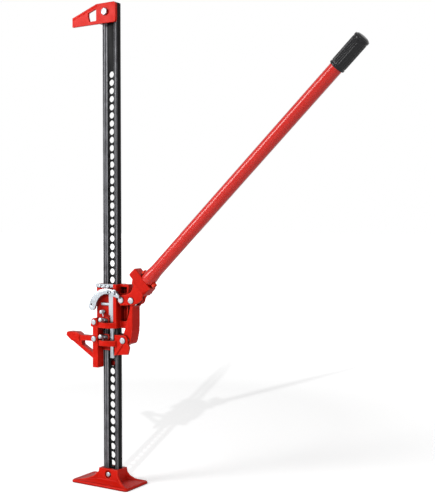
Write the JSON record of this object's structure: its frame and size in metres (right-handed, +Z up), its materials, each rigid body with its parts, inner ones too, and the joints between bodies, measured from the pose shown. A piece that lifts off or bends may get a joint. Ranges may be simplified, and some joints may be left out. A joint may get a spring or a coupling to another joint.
{
  "type": "high lift jack",
  "caption": "Tall lifting jack: a runner pair climbs a perforated steel standard as its long handle is pumped; claw on top, broad foot below.",
  "frame": {"origin": "underside of the base, straight under the middle of the standard", "axes": "+Z up along the standard, +X to the handle side, -Y to the front where the climbing pins stand out"},
  "size_m": [0.863, 0.1002, 1.239],
  "materials": {
    "red_paint": "gloss red powder coat on cast iron and steel",
    "black_paint": "satin black powder coat on rolled steel",
    "zinc": "bright zinc plate",
    "bare_steel": "oiled bare steel",
    "grip_rubber": "charcoal moulded rubber"
  },
  "bodies": {
    "standard": {"standard_bar": "black_paint", "base_plate": "red_paint", "base_pin": "zinc", "base_pin_clip": "zinc", "top_claw": "red_paint", "claw_bolt": "zinc", "claw_nut": "zinc"},
    "lower_carriage": {"small_runner": "red_paint", "lower_pitman_pin": "zinc", "lower_pitman_clip": "zinc", "lower_pin_spring": "zinc", "lower_spring_screw": "zinc"},
    "lower_pin": {"lower_climbing_pin": "bare_steel", "lower_cross_pin": "zinc"},
    "upper_carriage": {"large_runner": "red_paint", "roller_pins": "zinc", "roller_pin_clips": "zinc", "handle_pivot_pin": "zinc", "handle_pivot_clip": "zinc", "latch_plate": "zinc", "latch_plate_screws": "zinc", "latch_pivot_pin": "zinc", "upper_pin_spring": "zinc", "upper_spring_screw": "zinc"},
    "upper_pin": {"upper_climbing_pin": "bare_steel", "upper_cross_pin": "zinc"},
    "top_roller": {"upper_roller": "bare_steel"},
    "bottom_roller": {"lower_roller": "bare_steel"},
    "latch": {"reversing_latch": "zinc"},
    "reverser": {"reversing_bar": "zinc"},
    "handle": {"handle_socket": "red_paint", "handle_pipe": "red_paint", "handle_grip": "grip_rubber", "socket_bolt": "red_paint", "socket_nut": "red_paint", "upper_pitman_pin": "zinc", "upper_pitman_clip": "zinc"},
    "link": {"pitman": "red_paint"}
  },
  "joints": [
    {"name": "climb", "type": "slide", "parent": "standard", "child": "lower_carriage", "axis": [0, 0, 1], "range_m": [-0.2343, 0.6177]},
    {"name": "handle_swing", "type": "hinge", "parent": "upper_carriage", "child": "handle", "pos_m": [0.0456, 0, 0.4721], "axis": [0, -1, 0], "range_deg": [-42.5, 29]},
    {"name": "step", "type": "slide", "parent": "lower_carriage", "child": "upper_carriage", "axis": [0, 0, 1], "range_m": [-0.01463, 0.0214]},
    {"name": "pitman_swing", "type": "hinge", "parent": "handle", "child": "link", "pos_m": [0.077, 0, 0.4721], "axis": [0, -1, 0], "range_deg": [-29.2, 42.7]},
    {"name": "lower_pin_slide", "type": "slide", "parent": "lower_carriage", "child": "lower_pin", "axis": [0, -0.9848, 0.1736], "range_m": [-0.011, 0]},
    {"name": "upper_pin_slide", "type": "slide", "parent": "upper_carriage", "child": "upper_pin", "axis": [0, -0.9848, 0.1736], "range_m": [-0.011, 0]},
    {"name": "latch_swing", "type": "hinge", "parent": "upper_carriage", "child": "latch", "pos_m": [0.0298, 0, 0.4911], "axis": [0, 1, 0], "range_deg": [0, 30]},
    {"name": "reverse", "type": "slide", "parent": "upper_carriage", "child": "reverser", "axis": [0, 0, 1], "range_m": [0, 0.0079]},
    {"name": "top_roll", "type": "hinge", "parent": "upper_carriage", "child": "top_roller", "pos_m": [-0.0313, 0, 0.4141], "axis": [0, 1, 0], "continuous": true},
    {"name": "bottom_roll", "type": "hinge", "parent": "upper_carriage", "child": "bottom_roller", "pos_m": [-0.0313, 0, 0.3715], "axis": [0, 1, 0], "continuous": true}
  ],
  "couplings": [
    {"joint": "step", "follows": "handle_swing", "m_per_rad": -0.028715},
    {"joint": "pitman_swing", "follows": "handle_swing", "ratio": -1},
    {"joint": "reverse", "follows": "latch_swing", "m_per_rad": 0.015}
  ]
}
